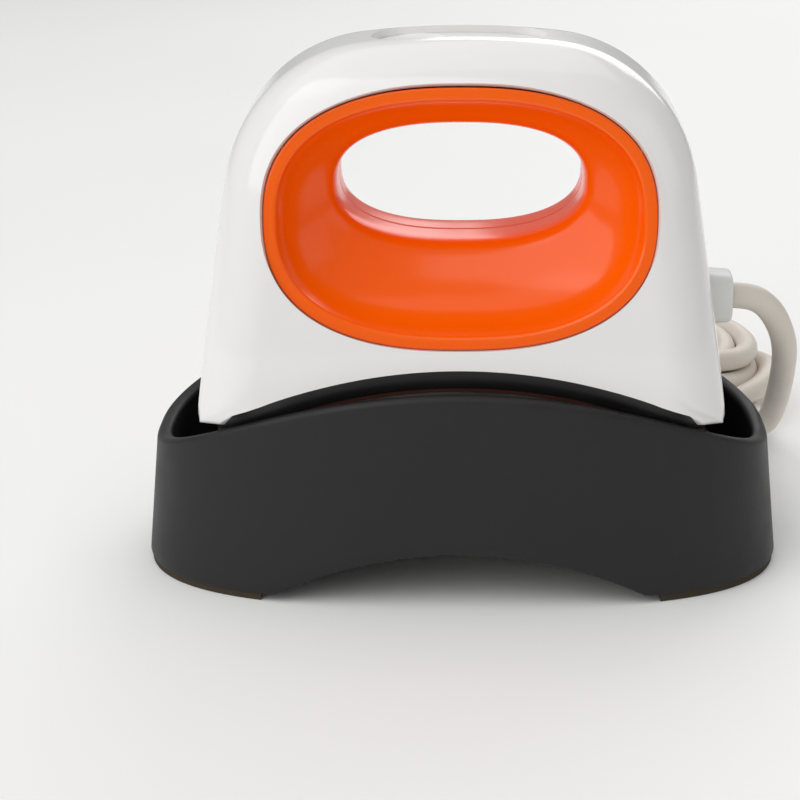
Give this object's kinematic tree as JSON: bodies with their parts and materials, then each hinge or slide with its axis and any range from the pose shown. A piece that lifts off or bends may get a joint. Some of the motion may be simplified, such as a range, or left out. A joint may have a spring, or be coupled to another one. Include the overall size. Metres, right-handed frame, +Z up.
{
  "type": "heat_press",
  "caption": "Portable curved heat press with a handle through its body, standing in a black insulated cradle, mains lead coiled behind",
  "frame": {"origin": "middle of the cradle's footprint, on the surface the cradle stands on", "axes": "+X along the cradle to the side where the lead leaves, +Y from the front towards the back, +Z up"},
  "size_m": [0.2147, 0.2418, 0.1653],
  "materials": {
    "cradle_plastic": "fine matt texture",
    "pad_rubber": "matt",
    "liner_fabric": "woven glass cloth",
    "felt": "pressed fibre",
    "screw_steel": "zinc plated",
    "shell_plastic": "glossy, faint moulding texture",
    "insert_plastic": "glossy",
    "collar_plastic": "satin",
    "gasket_rubber": "satin silicone",
    "plate_metal": "cast",
    "plate_coating": "satin ceramic coating",
    "element_metal": "oxidised tube",
    "ceramic": "unglazed",
    "insulation": "ceramic fibre felt",
    "shield_metal": "sheet",
    "board": "lacquered board",
    "part_plastic": "moulded",
    "relay_plastic": "moulded",
    "nylon": "natural",
    "wire_plastic": "sleeved",
    "panel_plastic": "satin gloss",
    "button_plastic": "satin gloss",
    "lamp_plastic": "translucent",
    "spring_steel": "bright",
    "gland_plastic": "satin",
    "cord_plastic": "satin jacket",
    "tie_plastic": "matt",
    "plug_plastic": "satin",
    "blade_brass": "nickel washed"
  },
  "bodies": {
    "cradle": {"cradle_shell": "cradle_plastic", "cradle_liner": "liner_fabric", "cradle_felt": "felt", "cradle_cover": "cradle_plastic", "cradle_screws": "screw_steel", "foot_pad_left": "pad_rubber", "foot_pad_right": "pad_rubber", "power_cord": "cord_plastic", "cord_coil": "cord_plastic", "cord_tie": "tie_plastic", "cord_tail": "cord_plastic", "plug_relief": "plug_plastic", "plug_body": "plug_plastic", "plug_blades": "blade_brass"},
    "press": {"board_posts": "nylon", "board_screws": "screw_steel", "button_spring": "spring_steel", "button_switch": "part_plastic", "buzzer": "part_plastic", "capacitor": "shield_metal", "control_board": "board", "control_panel": "panel_plastic", "controller_chip": "part_plastic", "cord_clamp": "nylon", "cord_end": "cord_plastic", "cord_gland": "gland_plastic", "element_leads": "wire_plastic", "element_sleeves": "ceramic", "element_tabs": "screw_steel", "front_shell": "shell_plastic", "heat_plate": "plate_metal", "heat_shield": "shield_metal", "heating_element": "element_metal", "indicator_lamps": "lamp_plastic", "indicator_leds": "lamp_plastic", "insert_front": "insert_plastic", "insert_rear": "insert_plastic", "insulation_pad": "insulation", "mains_leads": "wire_plastic", "plate_coating": "plate_coating", "plate_gasket": "gasket_rubber", "plate_screws": "screw_steel", "rear_shell": "shell_plastic", "relay": "relay_plastic", "shell_screws": "screw_steel", "skirt_collar": "collar_plastic", "switch_board": "board", "switch_cable": "wire_plastic", "temperature_probe": "ceramic", "terminal_block": "nylon", "thermal_fuse": "ceramic"},
    "button": {"power_button": "button_plastic"}
  },
  "joints": [
    {"name": "press_lift", "type": "slide", "parent": "cradle", "child": "press", "axis": [0, 0, 1], "range_m": [0, 0.06], "deforming": ["power_cord"]},
    {"name": "power_press", "type": "slide", "parent": "press", "child": "button", "axis": [0, 0, -1], "range_m": [0, 0.0012], "stiffness_N_per_m": 600, "deforming": ["button_spring"]}
  ]
}
